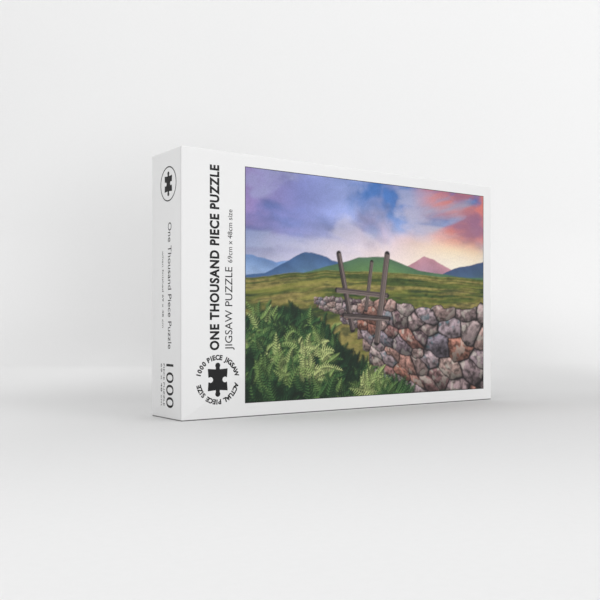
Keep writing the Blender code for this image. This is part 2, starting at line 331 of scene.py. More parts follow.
# Satin laminate over coated paper: a slightly cool white with a soft sheen. The film follows
# the paper's faint orange peel, drawn at 1.6 mm. A grey line of painted shade lies just past the
# front's folds, and the lowest edge, on which the box stands, has a dark band of painted contact
# shadow about 0.8 mm high.
white_print, shader, spot = new_material("coated_paper_satin_laminate")
tone = add_node(white_print, "TexNoise", {"Vector": spot, "Scale": 18.0, "Detail": 2.0})
peel = add_node(white_print, "TexNoise", {"Vector": spot, "Scale": 600.0, "Detail": 2.0})
sheen = add_node(white_print, "MapRange", {"Value": peel, "To Min": 0.44, "To Max": 0.56})
peel_relief = add_node(
    white_print, "Bump", {"Height": peel, "Strength": 0.12, "Distance": 0.05 * MM}
)
apart = add_node(white_print, "SeparateXYZ", {"Vector": spot}).outputs
# Painted shade: a grey line on the faces just past the front's folds.
fold_shade_band = add_node(
    white_print, "Math",
    {0: apart["Y"], 1: cad_low.y + FOLD_SHADE_LINE, 2: FOLD_SHADE_LINE / 3},
    operation="COMPARE",
)
# Painted contact shadow: a near-black band low on the paper, where the box meets the floor.
contact_shadow = add_node(
    white_print, "MapRange",
    {"Value": apart["Z"], "From Min": CONTACT_SHADOW_RISE[0], "From Max": CONTACT_SHADOW_RISE[1], "To Min": 1, "To Max": 0},
)
clean = add_node(
    white_print, "Mix", {0: tone, 6: rgba("#E4E4E4"), 7: rgba("#E8E8E8")}, data_type="RGBA"
)
fold_shaded = add_node(
    white_print, "Mix", {0: fold_shade_band, 6: clean, 7: rgba("#D8D8D8")}, data_type="RGBA"
)
contact_shadowed = add_node(
    white_print, "Mix", {0: contact_shadow, 6: fold_shaded, 7: rgba("#3C3A38")}, data_type="RGBA"
)
feed(shader, {"Base Color": contact_shadowed, "Roughness": sheen, "Normal": peel_relief})


def cover_tray(name, node, body, facing):
    """The paper round one tray, whose panel faces -Y (facing -1) or +Y (facing 1)."""
    low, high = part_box(node)
    low, high = low.copy(), high.copy()
    low.x += PRINT_ROOM
    high.x -= PRINT_ROOM
    if facing < 0:
        low.y += PRINT_ROOM
    size, middle = high - low, (low + high) / 2
    bpy.ops.mesh.primitive_cube_add(size=1, location=middle, scale=size)
    cover = bpy.context.object
    cover.name = name
    bpy.ops.object.transform_apply(location=True, rotation=True, scale=True)

    shape = enter_edit(cover)
    for face in shape.faces:
        face.select_set(face.normal.y * facing < -0.9)
    bpy.ops.mesh.delete(type="FACE")
    for seam, side in ((low.z + FLAP_MARGIN, -1), (high.z - FLAP_MARGIN, 1)):
        for shift in (0, FLAP_SLOPE * side):
            bpy.ops.mesh.select_all(action="DESELECT")
            shape = bmesh.from_edit_mesh(cover.data)
            for face in shape.faces:
                face.select_set(abs(face.normal.x) > 0.9)
            bpy.ops.mesh.bisect(plane_co=(0, 0, seam + shift), plane_no=(0, 0, 1))
    bpy.ops.mesh.select_mode(type="EDGE")
    bpy.ops.mesh.select_all(action="DESELECT")
    shape = bmesh.from_edit_mesh(cover.data)
    for edge in shape.edges:
        edge.select_set(edge.is_boundary)
    bpy.ops.mesh.extrude_region_move()
    inner = [1 - 2 * CAD_PAPER_WALL / size.x, 1, 1 - 2 * CAD_PAPER_WALL / size.z]
    bpy.ops.transform.resize(value=inner, center_override=middle)
    bpy.ops.mesh.extrude_region_move(
        TRANSFORM_OT_translate={"value": (0, facing * TURN_IN, 0)}
    )
    bpy.ops.mesh.select_all(action="SELECT")
    bpy.ops.mesh.normals_make_consistent(inside=False)
    leave_edit()

    fold = cover.modifiers.new("fold", "BEVEL")
    fold.limit_method = "ANGLE"
    fold.angle_limit = math.radians(40)
    fold.width = FOLD_RADIUS
    fold.segments = FOLD_SEGMENTS
    apply_modifier(cover, fold)
    # The tucked corner lies one paper lower than the flap on top of it.
    for vert in cover.data.vertices:
        tucked = min(vert.co.z - low.z, high.z - vert.co.z) < FLAP_MARGIN - FLAP_SLOPE / 2
        depth = size.x / 2 - abs(vert.co.x)
        if tucked and depth < FOLD_RADIUS:
            share = 1 - depth / FOLD_RADIUS
            vert.co.x -= math.copysign(FLAP_STEP * share, vert.co.x)
    thickness = cover.modifiers.new("thickness", "SOLIDIFY")
    thickness.thickness = PAPER
    thickness.offset = -1
    thickness.use_even_offset = True
    apply_modifier(cover, thickness)
    cover.data.shade_smooth()
    cover.data.set_sharp_from_angle(angle=math.radians(35))
    cover.data.materials.append(white_print)
    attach(cover, body)
    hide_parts(node)


cover_tray("lid_paper", "lid_wrap", "lid", -1)
cover_tray("base_paper", "base_wrap", "base", 1)


# The printed picture: a landscape at sunset, with hills, a moor, a dry-stone wall, a stile and
# bracken. It is litho printed on the lid's paper. It is painted here by rule, in heights of the
# picture from its lower left corner, on cells a third the size of the printed ones.

PANEL = cad_low.y + PRINT_ROOM
PRINT_LIFT = 0.05 * MM
PICTURE_LEFT = cad_low.x + 58.3 * MM
PICTURE_WIDTH = 280 * MM
PICTURE_FLOOR = 11.5 * MM
PICTURE_HEIGHT = 193 * MM
OUTLINE = 0.5 * MM
PRINT_COLUMNS, PRINT_ROWS = 381, 263
FINE = 3
NOISE_CELLS = 64

rows, columns = np.mgrid[0 : PRINT_ROWS * FINE, 0 : PRINT_COLUMNS * FINE]
CELL = 1 / (PRINT_ROWS * FINE)
across = (columns + 0.5) * CELL
up = (rows + 0.5) * CELL
WIDE = PRINT_COLUMNS / PRINT_ROWS
canvas = np.zeros((*across.shape, 3))


def cell_noise(x, y, seed):
    """Smooth noise from 0 to 1, one lump to a unit."""
    lattice = np.random.default_rng(seed).random((NOISE_CELLS, NOISE_CELLS))
    column, row = np.floor(x).astype(int), np.floor(y).astype(int)
    right, above = x - column, y - row
    right, above = (s * s * (3 - 2 * s) for s in (right, above))
    near, far = column % NOISE_CELLS, (column + 1) % NOISE_CELLS
    low, high = row % NOISE_CELLS, (row + 1) % NOISE_CELLS
    bottom = lattice[low, near] * (1 - right) + lattice[low, far] * right
    top = lattice[high, near] * (1 - right) + lattice[high, far] * right
    return bottom * (1 - above) + top * above


def clouds(x, y, seed, octaves=5):
    """Noise at several sizes, from 0 to 1, each half the size and strength of the last."""
    total, reach = 0, 0
    for octave in range(octaves):
        size = 2**octave
        total = total + cell_noise(x * size + octave * 7.3, y * size, seed + octave) / size
        reach += 1 / size
    return total / reach


def ease(value, start, end):
    """0 before start and 1 after end, smooth between."""
    share = np.clip((value - start) / (end - start), 0, 1)
    return share * share * (3 - 2 * share)


def tint(shares, *hex_codes):
    """Colours in equal steps along a share from 0 to 1."""
    stops = np.linspace(0, 1, len(hex_codes))
    colours = np.array([linear(code) for code in hex_codes])
    return np.stack([np.interp(shares, stops, colours[:, i]) for i in range(3)], axis=-1)


def lay(colour, share, where=slice(None)):
    """Paints a colour over the canvas, as strongly as share says."""
    share = np.asarray(share)[..., None]
    canvas[where] = canvas[where] * (1 - share) + colour * share


# Sky: blue overhead and pale over the hills, with banks of cloud that go from violet on the left
# to red on the right, and a low sun that shines through them.
HORIZON = 0.57
height = np.clip((up - HORIZON) / (1 - HORIZON), 0, 1)
lay(tint(height, "#D6D6EA", "#A8B9E0", "#7096D0", "#4A78BC", "#3F6DB0"), 1)
bend = clouds(across * 2.1, up * 2.3, 11)
bank = clouds(across * 1.5 + bend * 1.1, up * 3.1 - across * 0.8, 29, 6)
side = across / WIDE
lit = tint(side, "#9A82BA", "#8489C4", "#9AA8DC", "#D8C6DA", "#F4C4B4", "#F6A688")
dim = tint(side, "#6566A0", "#6478B4", "#8A92C4", "#AC96B4", "#B0707E", "#8E5666")
under = ease(clouds(across * 2.6 + 5 + bend, up * 6.5, 37, 6), 0.42, 0.64)[..., None]
left_bank = np.exp(-(((across - 0.18) / 0.34) ** 2) - ((up - 0.83) / 0.16) ** 2)
cover = ease(bank + 0.16 * left_bank, 0.44, 0.62) * (0.45 + 0.55 * ease(height, 0.05, 0.4))
lay(lit * (1 - under) + dim * under, cover * 0.9)
ripples = clouds(across * 6.5 + bend * 3, up * 12.0 + bend * 2, 47, 6) - 0.5
canvas *= (1 + 0.75 * ripples)[..., None]
wisps = ease(clouds(across * 3.6 + bend * 2, up * 10.0, 51, 6), 0.50, 0.72)
lay(tint(side, "#A9BCE2", "#F0E4EC", "#FFE2CC"), wisps * 0.55 * (1 - height * 0.5))
glow = np.exp(-(((across - 1.24) / 0.50) ** 2) - ((up - 0.61) / 0.16) ** 2)
lay(tint(glow, "#EBC6C8", "#F7CFB4", "#FDE8B8", "#FFF8DC"), glow * (1 - 0.2 * under[..., 0]))
haze = np.exp(-(((across - 0.78) / 0.5) ** 2) - ((up - 0.63) / 0.09) ** 2)
lay(linear("#F6E4E0"), haze * 0.75)
embers = ease(clouds(across * 2.8 + bend, up * 7.0 - across * 2, 57, 5), 0.40, 0.55)
embers = embers * ease(across + up * 0.4, 1.30, 1.55) * ease(up, 0.70, 0.8)
lay(tint(under[..., 0], "#E8806A", "#A4667A"), embers * 0.85)


def ridge(points, rough, seed):
    """A skyline through some points, roughened."""
    line = np.interp(across[0], *zip(*points))
    return line + rough * (clouds(across[:1] * 9, across[:1] * 0 + seed, seed, 5)[0] - 0.5)


def lay_hill(points, rough, seed, *hex_codes):
    """A hill from its skyline down, hazy towards its foot."""
    skyline = ridge(points, rough, seed)
    inside = ease(skyline - up, -CELL, CELL)
    depth = np.clip((skyline - up) / 0.12, 0, 1)
    folds = clouds(across * 14 + up * 9, up * 22, seed + 5)
    shade = tint(depth, *hex_codes) * (0.72 + 0.56 * folds)[..., None]
    lay(shade, inside)


# Hills, from the furthest: a blue one, a peak that still has the sun, a blue one on each side,
# and a green one in the middle.
lay_hill(
    [(0, 0.63), (0.16, 0.60), (0.3, 0.62), (0.5, 0.585), (0.8, 0.57), (1.45, 0.57)],
    0.03, 61, "#6C8DC0", "#8FAAD4", "#A9BEDF",
)
lay_hill(
    [(0, 0.5), (0.7, 0.5), (0.86, 0.585), (1.03, 0.672), (1.1, 0.65), (1.3, 0.58), (1.45, 0.56)],
    0.02, 71, "#C08C98", "#B48A9C", "#C4A2AE",
)
lay_hill(
    [(0, 0.54), (0.1, 0.56), (0.31, 0.655), (0.42, 0.64), (0.6, 0.59), (0.9, 0.56), (1.45, 0.55)],
    0.03, 83, "#3F5F8C", "#4F6F96", "#5F86A0",
)
lay_hill(
    [(0, 0.5), (1.0, 0.54), (1.15, 0.585), (1.3, 0.63), (1.45, 0.66)],
    0.02, 97, "#3E5278", "#46607E", "#55705F",
)
lay_hill(
    [(0, 0.5), (0.3, 0.56), (0.62, 0.645), (0.78, 0.65), (1.0, 0.60), (1.25, 0.575), (1.45, 0.57)],
    0.012, 103, "#4E6F55", "#5F8352", "#6C8A4B",
)

# Moor: bands of grass that widen towards the eye, with rushes, sunlit strips and dark heather.
moor_top = ridge([(0, 0.53), (0.4, 0.575), (0.8, 0.58), (1.45, 0.565)], 0.01, 113)
distance = np.clip((moor_top - up) / 0.5, 0.0, 1)
band = np.log(distance + 0.03)
grass = clouds(across * 4, band * 5.5 + across, 127, 6)
tufts = clouds(across * 46, up * 90, 131, 4)
moor = tint(ease(grass, 0.2, 0.8), "#2C4526", "#4C5C2C", "#6B7036", "#8A8146", "#9A8C52")
lay(moor * (0.36 + 1.05 * tufts)[..., None], ease(moor_top - up, -CELL, CELL))
sunlit = ease(clouds(across * 2.5 + 9, band * 3.2, 139), 0.55, 0.7)
lay(linear("#8F9140"), sunlit * 0.45 * ease(moor_top - up, 0.01, 0.03))
heather = ease(clouds(across * 9, band * 12, 141, 4), 0.60, 0.66)
lay(linear("#2A3A28"), heather * 0.6 * ease(moor_top - up, 0.01, 0.03))

# Dry-stone wall: it comes from the far left and grows towards the lower right. Stones are
# cells round scattered points, in rows counted in stones from the wall's top.
WALL_START = 0.34
grow = np.clip((across[0] - WALL_START) / (WIDE - WALL_START), 0, 1)
stone = 0.019 + 0.118 * grow**1.05
along = np.cumsum(CELL / stone)[None, :] + 0 * across
wall_top = 0.455 + 0.035 * np.sin(across * 4.2) * grow - 0.02 * grow
down = (wall_top - up) / stone[None, :]
foot = np.interp(
    across[0], [0.34, 0.5, 0.62, 0.7, 0.78, 1.45], [0.43, 0.36, 0.28, 0.14, -0.1, -0.5]
)
waver = 0.42 * (clouds(along * 1.3, down * 1.3, 149, 5) - 0.5)
along, down = along + waver, down - waver
scatter = np.random.default_rng(151)
offsets = scatter.random((NOISE_CELLS, NOISE_CELLS, 3))
STONE_LONG, STONE_TALL = 1.25, 0.78
columns_in, rows_in = np.floor(along / STONE_LONG), np.floor(down / STONE_TALL)
nearest = np.full(across.shape, 9.0)
second = np.full(across.shape, 9.0)
nearest_x, nearest_y, who = (np.zeros(across.shape) for _ in range(3))
for step_x in (-1, 0, 1):
    for step_y in (-1, 0, 1):
        column, row = columns_in + step_x, rows_in + step_y
        key = (row.astype(int) % NOISE_CELLS, column.astype(int) % NOISE_CELLS)
        jitter = offsets[key]
        centre_x = (column + 0.15 + 0.7 * jitter[..., 0] + 0.5 * (row % 2)) * STONE_LONG
        centre_y = (row + 0.2 + 0.6 * jitter[..., 1]) * STONE_TALL
        apart_x = (along - centre_x) / STONE_LONG
        apart_y = (down - centre_y) / STONE_TALL
        apart = np.hypot(apart_x, apart_y) * (0.85 + 0.3 * jitter[..., 2])
        closer = apart < nearest
        second = np.where(closer, nearest, np.minimum(second, apart))
        nearest = np.where(closer, apart, nearest)
        nearest_x = np.where(closer, centre_x, nearest_x)
        nearest_y = np.where(closer, centre_y, nearest_y)
        who = np.where(closer, jitter[..., 0] * 5.7 + jitter[..., 1] * 3.1, who) % 1
centre_up = wall_top - nearest_y * stone[None, :]
in_wall = (nearest_y > 0.1) & (centre_up > foot[None, :]) & (across > WALL_START + 0.02)
gap = ease(second - nearest, 0.0, 0.05 + 0.22 * clouds(along * 2, down * 2, 153, 4))
grain = ease(clouds(along * 6.5, down * 7.5, 157, 6), 0.22, 0.78)
veins = 1 - np.abs(2 * clouds(along * 2.3, down * 3.7 + who * 9, 159, 5) - 1)
stones = tint(
    who, "#7A646C", "#A78E86", "#86757E", "#BBA6A2", "#A06A58", "#6E6876", "#B09CA0"
)
rise = (nearest_y - down) * 0.95 + (nearest_x - along) * 0.3
round_off = 0.32 + 0.95 * ease(rise, -0.45, 0.5)
rough = (0.26 + 1.12 * grain) * (0.56 + 0.6 * veins)
stones = stones * (round_off * rough)[..., None]
lichen = ease(clouds(along * 3.1 + 4, down * 3.3, 163, 5), 0.57, 0.66)[..., None]
pale = np.where(who[..., None] > 0.85, linear("#4F7F88"), linear("#CFC8BC"))
stones = stones * (1 - 0.5 * lichen) + pale * (0.5 * lichen * round_off[..., None])
stones = linear("#171316") * (1 - gap[..., None]) + stones * gap[..., None]
lay(stones, in_wall * 1.0)


def stroke(start, end, widths, colour, strength=1.0):
    """A straight tapering brush stroke, touching only the cells near it."""
    start, end = np.array(start), np.array(end)
    reach = max(widths) + 2 * CELL
    first = np.floor((np.minimum(start, end) - reach) / CELL).astype(int)
    last = np.ceil((np.maximum(start, end) + reach) / CELL).astype(int)
    first = np.maximum(first, 0)
    last = np.minimum(last, (across.shape[1], across.shape[0]))
    if (last <= first).any():
        return
    where = (slice(first[1], last[1]), slice(first[0], last[0]))
    run = end - start
    x, y = across[where] - start[0], up[where] - start[1]
    share = np.clip((x * run[0] + y * run[1]) / (run @ run), 0, 1)
    off = np.hypot(x - share * run[0], y - share * run[1])
    half = widths[0] + (widths[1] - widths[0]) * share
    lay(colour, np.clip((half - off) / CELL + 0.5, 0, 1) * strength, where)


# Stile: three weathered oak posts with two steps between them, where a path crosses the wall.
OAK = ("#4A4040", "#6E6060", "#8C7C76", "#3A3232")
timber = random.Random(167)


def lay_timber(start, end, half_width):
    """A beam, drawn as many long strokes of slightly different browns."""
    start, end = Vector(start), Vector(end)
    side_way = (end - start).orthogonal().normalized()
    stroke(start, end, (half_width * 1.25, half_width * 1.2), linear("#241E20"))
    for i in range(14):
        place = half_width * (2 * i / 13 - 1)
        wander = side_way * timber.uniform(-0.15, 0.15) * half_width
        lift = 1.25 - 0.7 * (i / 13)
        colour = linear(timber.choice(OAK)) * lift
        thin = half_width * 0.13
        stroke(start + side_way * place, end + side_way * place + wander, (thin, thin), colour)


for low_end, high_end, half_width in (
    ((0.660, 0.40), (0.695, 0.625), 0.009),
    ((0.580, 0.31), (0.500, 0.655), 0.012),
    ((0.49, 0.490), (0.79, 0.470), 0.010),
    ((0.725, 0.25), (0.790, 0.665), 0.014),
    ((0.53, 0.375), (0.80, 0.360), 0.010),
):
    lay_timber(low_end, high_end, half_width)

# Bracken: fronds in front of the wall on the left, drawn from the back of the bank forwards,
# each a bent rib with leaflets that shorten towards its tip and throw a shadow.
bracken = random.Random(173)
bank_top = np.array(
    [(0, 0.36), (0.15, 0.41), (0.3, 0.40), (0.42, 0.35), (0.55, 0.2), (0.72, 0.1), (0.9, 0.0)]
)
bank_line = np.interp(across[0], *bank_top.T)
bank_line = bank_line + 0.03 * (clouds(across[:1] * 12, across[:1], 179)[0] - 0.5)
leaf_gaps = clouds(across * 60, up * 64, 181, 3)
lay(
    tint(leaf_gaps, "#0A1A10", "#142E1C", "#24502C"),
    ease(bank_line[None, :] - up, -0.01, 0.01),
)
clumps = clouds(across * 5.5, up * 6.5, 187, 4)
FRONDS = 900
for i in range(FRONDS):
    share = i / FRONDS
    x = bracken.uniform(-0.05, 0.92)
    y = np.interp(x, *bank_top.T) * (1 - share) + bracken.uniform(-0.07, 0.01)
    length = bracken.uniform(0.035, 0.085) + 0.03 * share
    lean = math.pi / 2 + bracken.uniform(-1.5, 1.5)
    droop = bracken.uniform(-1.6, 1.6)
    spot = (
        min(max(int(y / CELL), 0), clumps.shape[0] - 1),
        min(max(int(x / CELL), 0), clumps.shape[1] - 1),
    )
    light = 0.48 * share + 3.4 * (clumps[spot] - 0.5) + bracken.uniform(-0.25, 0.3)
    colour = tint(light, "#10281A", "#234A2A", "#4C743E", "#86A25A", "#C4CE88")
    steps = 8
    point, heading = Vector((x, y)), lean
    for k in range(steps):
        t = k / steps
        heading += droop / steps
        ahead = point + Vector((math.cos(heading), math.sin(heading))) * length / steps
        leaf = length * 0.36 * (1 - t) ** 0.8 * (0.5 + 0.5 * min(1, t * 5))
        for turn in (-1.05, 1.05):
            tip = point + Vector((math.cos(heading + turn), math.sin(heading + turn))) * leaf
            bright = 1.3 if turn > 0 else 0.6
            below = Vector((0.002, -0.004))
            stroke(point + below, tip + below, (0.0040, 0.002), linear("#0C1C12"), 0.5)
            stroke(point, tip, (0.0024, 0.0008), colour * bright, 0.95)
        stroke(point, ahead, (0.0010, 0.0008), colour * 1.2)
        point = ahead

# A fine grain all over, and a little more shade in the corners.
speckle = np.random.default_rng(197).normal(0.97, 0.07, across.shape)
corner = 1 - 0.16 * (((across / WIDE - 0.5) * 2) ** 2 + ((up - 0.5) * 2) ** 2) / 2
canvas *= (speckle * corner)[..., None]

# The print's cells are the mean of the fine ones, with the contrast that a press gives.
printed = canvas.reshape(PRINT_ROWS, FINE, PRINT_COLUMNS, FINE, 3).mean(axis=(1, 3))
printed = np.clip(printed, 0.004, 1)

# Four-colour litho print under the same satin film as the white paper. The dots of the screen
# are 0.15 mm apart on the real print and are drawn at 0.9 mm, as a faint grain.
picture_ink, shader, spot = new_material("litho_print_satin_laminate")
colour = add_node(picture_ink, "VertexColor", layer_name="ink")
dots = add_node(picture_ink, "TexNoise", {"Vector": spot, "Scale": 1100.0, "Detail": 1.0})
dot_share = add_node(picture_ink, "MapRange", {"Value": dots, "To Min": 0.88, "To Max": 1.12})
screened = add_node(
    picture_ink, "VectorMath", {"Vector": colour, "Scale": dot_share}, operation="SCALE"
)
laminate_relief = add_node(
    picture_ink, "Bump", {"Height": dots, "Strength": 0.08, "Distance": 0.05 * MM}
)
feed(
    shader,
    {
        "Base Color": screened,
        "Normal": laminate_relief,
        "Roughness": 0.5,
        "Specular IOR Level": 0.25,
    },
)


def keep_inks(mesh, inks):
    """Stores a colour at each point of a mesh, where its material reads it."""
    ink = mesh.color_attributes.new("ink", "FLOAT_COLOR", "POINT")
    ink.data.foreach_set("color", np.hstack([inks, np.ones((len(inks), 1))]).ravel())


bpy.ops.mesh.primitive_grid_add(
    x_subdivisions=PRINT_COLUMNS - 1, y_subdivisions=PRINT_ROWS - 1, size=1
)
picture = bpy.context.object
picture.name = "printed_picture"
picture.data.transform(
    Matrix.Translation((PICTURE_LEFT, PANEL - PRINT_LIFT, PICTURE_FLOOR))
    @ Matrix.Rotation(math.pi / 2, 4, "X")
    @ Matrix.Diagonal((PICTURE_WIDTH, PICTURE_HEIGHT, 1, 1))
    @ Matrix.Translation((0.5, 0.5, 0))
)
spots = np.array([vert.co for vert in picture.data.vertices])
spot_columns = np.rint((spots[:, 0] - PICTURE_LEFT) / PICTURE_WIDTH * (PRINT_COLUMNS - 1))
spot_rows = np.rint((spots[:, 2] - PICTURE_FLOOR) / PICTURE_HEIGHT * (PRINT_ROWS - 1))
keep_inks(picture.data, printed[spot_rows.astype(int), spot_columns.astype(int)])
picture.data.materials.append(picture_ink)
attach(picture, "lid")


# The lettering: plain words about any jigsaw of this size, in black, with a thin black line
# round the picture. It is printed with the picture; here each letter is a flake of ink.

INK = 0.03 * MM
LETTER_LIFT = 0.03 * MM
CLEAR_OF_PICTURE = 0.01 * MM
CAP_SHARE = 0.729  # of a line's size: the height of its capitals

# Black litho ink under the satin film: near black, with the paper's sheen.
black_ink, shader, spot = new_material("black_ink_satin_laminate")
coverage = add_node(black_ink, "TexNoise", {"Vector": spot, "Scale": 900.0, "Detail": 2.0})
blacks = add_node(
    black_ink, "Mix", {0: coverage, 6: rgba("#0B0B0C"), 7: rgba("#161618")}, data_type="RGBA"
)
feed(shader, {"Base Color": blacks, "Roughness": 0.5, "Specular IOR Level": 0.25})


def set_type(words, cap_height, bold=0.0, length=None):
    """A line of type as a mesh that lies face up, with its baseline on +X from the origin."""
    bpy.ops.object.select_all(action="DESELECT")
    bpy.ops.object.text_add()
    line = bpy.context.object
    line.data.body = words
    line.data.size = cap_height / CAP_SHARE
    line.data.resolution_u = 4
    line.data.offset = bold * cap_height
    line.data.space_character = 1 + 2 * bold
    line.data.extrude = INK / 2
    bpy.ops.object.convert(target="MESH")
    line = bpy.context.object
    xs = [vert.co.x for vert in line.data.vertices]
    line.data.transform(Matrix.Translation((-min(xs), 0, INK / 2)))
    if length:
        stretch = length / (max(xs) - min(xs))
        line.data.transform(Matrix.Diagonal((stretch, 1, 1, 1)))
    return line


def set_lines(table, place_on):
    """Lines of type. A row holds the words, the capitals' height, the boldness, the length, and
    where the line starts, to the right and up: sizes in millimetres."""
    lines = []
    for words, cap, bold, length, right, height in table:
        line = set_type(words, cap * MM, bold, length * MM)
        line.data.transform(place_on(right * MM, height * MM))
        lines.append(line)
    return lines


def print_together(name, lines, body):
    """Joins printed lines into one piece that rides on a body."""
    bpy.ops.object.select_all(action="DESELECT")
    for line in lines:
        line.select_set(True)
    bpy.context.view_layer.objects.active = lines[0]
    if len(lines) > 1:
        bpy.ops.object.join()
    piece = bpy.context.view_layer.objects.active
    piece.name = name
    piece.data.materials.clear()
    piece.data.materials.append(black_ink)
    bpy.ops.object.select_all(action="DESELECT")
    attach(piece, body)


def on_panel(right, height, turn=0.0):
    """From a flat layout to the front panel, at a distance from its left edge and the floor."""
    return (
        Matrix.Translation((cad_low.x + right, PANEL - LETTER_LIFT, height))
        @ Matrix.Rotation(math.pi / 2, 4, "X")
        @ Matrix.Rotation(turn, 4, "Z")
    )


FRONT_TYPE = (
    ("ONE THOUSAND PIECE PUZZLE", 8.2, 0.055, 148, 33.5, 55),
    ("JIGSAW PUZZLE", 7, 0.0, 67, 46, 55),
    ("69cm x 48cm size", 4.5, 0.0, 43, 46, 125.5),
)
UPWARDS = math.pi / 2
front_lines = set_lines(FRONT_TYPE, lambda right, height: on_panel(right, height, UPWARDS))
print_together("front_lettering", front_lines, "lid")

bpy.ops.mesh.primitive_plane_add(size=1)
outline = bpy.context.object
outline.data.transform(
    Matrix.Diagonal((PICTURE_WIDTH + OUTLINE, PICTURE_HEIGHT + OUTLINE, 1, 1))
)
enter_edit(outline)
bpy.ops.mesh.select_all(action="SELECT")
bpy.ops.mesh.inset(thickness=OUTLINE)
bpy.ops.mesh.delete(type="FACE")
leave_edit()
outline.data.transform(
    Matrix.Translation(
        (
            PICTURE_LEFT + PICTURE_WIDTH / 2,
            PANEL - LETTER_LIFT - INK - CLEAR_OF_PICTURE,
            PICTURE_FLOOR + PICTURE_HEIGHT / 2,
        )
    )
    @ Matrix.Rotation(math.pi / 2, 4, "X")
)
print_together("picture_outline", [outline], "lid")


# The emblem: a piece of the puzzle at its real size, in black, inside a ring of small capitals
# that say so. It is printed under the title.

PUZZLE_COLUMNS, PUZZLE_ROWS = 38, 27
PIECE_WIDTH, PIECE_HEIGHT = 690 / PUZZLE_COLUMNS * MM, 480 / PUZZLE_ROWS * MM
KNOB_RADIUS = 2.3 * MM
KNOB_REACH = 4.8 * MM
KNOB_SWEEP = math.radians(130)
NECK = 1.9 * MM
EMBLEM = Vector((32.6 * MM, 31.4 * MM))
RING_RADIUS = 16.0 * MM
RING_CAP = 3.9 * MM
RING_BOLD = 0.06
SHOULDER_DIP = 0.55 * MM


def side_outline(start, end, knob, arc_steps):
    """One side of a piece up to its far corner: straight, or with a knob out (1) or in (-1)."""
    points = [start]
    if knob:
        way = (end - start).normalized()
        out = Vector((way.y, -way.x)) * knob
        middle = (start + end) / 2
        head = middle + out * (KNOB_REACH - KNOB_RADIUS)
        dipped = middle + Vector((-way.y, way.x)) * SHOULDER_DIP
        points.append(dipped - way * NECK)
        for step in range(arc_steps + 1):
            angle = KNOB_SWEEP * (2 * step / arc_steps - 1)
            points.append(
                head + KNOB_RADIUS * (math.sin(angle) * way + math.cos(angle) * out)
            )
        points.append(dipped + way * NECK)
    return points


def piece_outline(knobs, arc_steps):
    """A piece's outline about its middle, anticlockwise from its lower left corner."""
    x, y = PIECE_WIDTH / 2, PIECE_HEIGHT / 2
    corners = [Vector(corner) for corner in ((-x, -y), (x, -y), (x, y), (-x, y))]
    points = []
    for i, knob in enumerate(knobs):
        points += side_outline(corners[i], corners[(i + 1) % 4], knob, arc_steps)
    return points


def flat_piece(knobs, thickness, arc_steps=10):
    """A filled outline as a mesh with a thickness, its lower face on the ground."""
    curve = bpy.data.curves.new("outline", "CURVE")
    curve.dimensions = "2D"
    curve.fill_mode = "BOTH"
    curve.extrude = thickness / 2
    points = piece_outline(knobs, arc_steps)
    spline = curve.splines.new("POLY")
    spline.points.add(len(points) - 1)
    for spline_point, point in zip(spline.points, points):
        spline_point.co = (point.x, point.y, 0, 1)
    spline.use_cyclic_u = True
    piece = bpy.data.objects.new("outline", curve)
    bpy.context.scene.collection.objects.link(piece)
    bpy.ops.object.select_all(action="DESELECT")
    piece.select_set(True)
    bpy.context.view_layer.objects.active = piece
    bpy.ops.object.convert(target="MESH")
    piece = bpy.context.object
    piece.data.transform(Matrix.Translation((0, 0, thickness / 2)))
    enter_edit(piece)
    bpy.ops.mesh.select_all(action="SELECT")
    bpy.ops.mesh.remove_doubles(threshold=0.01 * MM)
    bpy.ops.mesh.dissolve_limited(angle_limit=math.radians(2))
    leave_edit()
    return piece


def ring_of_type(words, first, last):
    """Capitals on a circle round the origin, clockwise from one angle to another in degrees,
    tops out. Each letter has room for its own width, in shares of a wide one."""
    letters = []
    first, last = math.radians(first), math.radians(last)
    pens = [0.0]
    for letter in words:
        wide = {" ": 0.45, "I": 0.45, "1": 0.7, "J": 0.6, "W": 1.25, "0": 0.9}.get(letter, 0.85)
        pens.append(pens[-1] + wide)
    for letter, pen, following in zip(words, pens, pens[1:]):
        if letter == " ":
            continue
        shape = set_type(letter, RING_CAP, RING_BOLD)
        wide = max(vert.co.x for vert in shape.data.vertices)
        angle = first + (last - first) * (pen + following) / 2 / pens[-1]
        shape.data.transform(
            Matrix.Rotation(angle - math.pi / 2, 4, "Z")
            @ Matrix.Translation((-wide / 2, RING_RADIUS, 0))
        )
        letters.append(shape)
    return letters


emblem = [flat_piece((1, -1, 1, -1), INK)]
emblem += ring_of_type("1000 PIECE JIGSAW", 171, 9)
emblem += ring_of_type("ACTUAL PIECE SIZE", -11, -169)
for mark in emblem:
    mark.data.transform(on_panel(EMBLEM.x, EMBLEM.y))
print_together("front_emblem", emblem, "lid")


# The ends: small plain words and a ring, read from the top of the box down, so that the box can
# be found on a shelf. Both ends are printed alike.

END_RING_OUT = 14 * MM
END_RING_LINE = 0.9 * MM
END_RING_PLACE = (22.5 * MM, 188 * MM)
END_PIECE_SCALE = 0.72
RIGHT_END_SHIFT = 1 * MM


def on_end(side, right, height, turn=0.0):
    """From a flat layout to an end wall: side is -1 for the left end and 1 for the right."""
    wall = side * (cad_high.x - PRINT_ROOM + LETTER_LIFT)
    edge = cad_low.y + right if side < 0 else cad_high.y - RIGHT_END_SHIFT - right
    return (
        Matrix.Translation((wall, edge, height))
        @ Matrix.Rotation(side * math.pi / 2, 4, "Z")
        @ Matrix.Rotation(math.pi / 2, 4, "X")
        @ Matrix.Rotation(turn, 4, "Z")
    )


